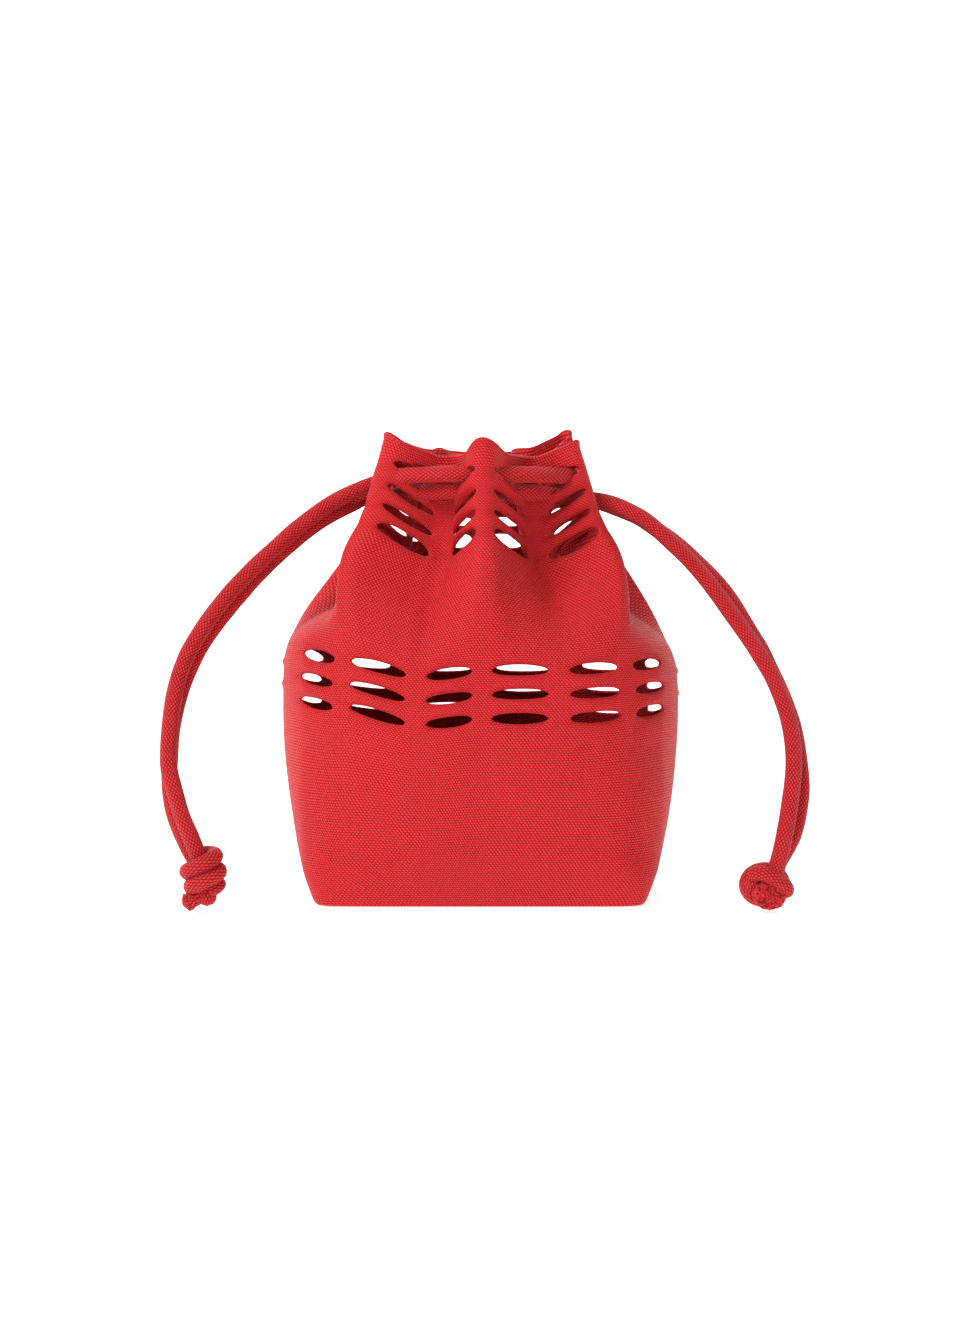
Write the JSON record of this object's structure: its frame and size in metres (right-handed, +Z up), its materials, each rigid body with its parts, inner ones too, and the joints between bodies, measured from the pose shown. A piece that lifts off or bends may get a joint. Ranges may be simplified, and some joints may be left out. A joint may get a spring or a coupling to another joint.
{
  "type": "kinchaku drawstring pouch",
  "caption": "Small drawstring pouch of thick red knitted cloth on a boxed base, with rows of slits and knotted cords threaded through the gathered collar.",
  "frame": {"origin": "on the floor under the middle of the pouch, measured without the cords and their knots", "axes": "+Z up through the mouth, -Y out of the front, +X to the right seen from the front"},
  "size_m": [0.2762, 0.1439, 0.2108],
  "materials": {
    "knitted_cloth": "matte knit",
    "knitted_cord": "matte knit"
  },
  "bodies": {
    "root": {"pouch_body": "knitted_cloth", "left_drawcord": "knitted_cord", "right_drawcord": "knitted_cord", "left_knot": "knitted_cord", "right_knot": "knitted_cord"}
  },
  "joints": []
}
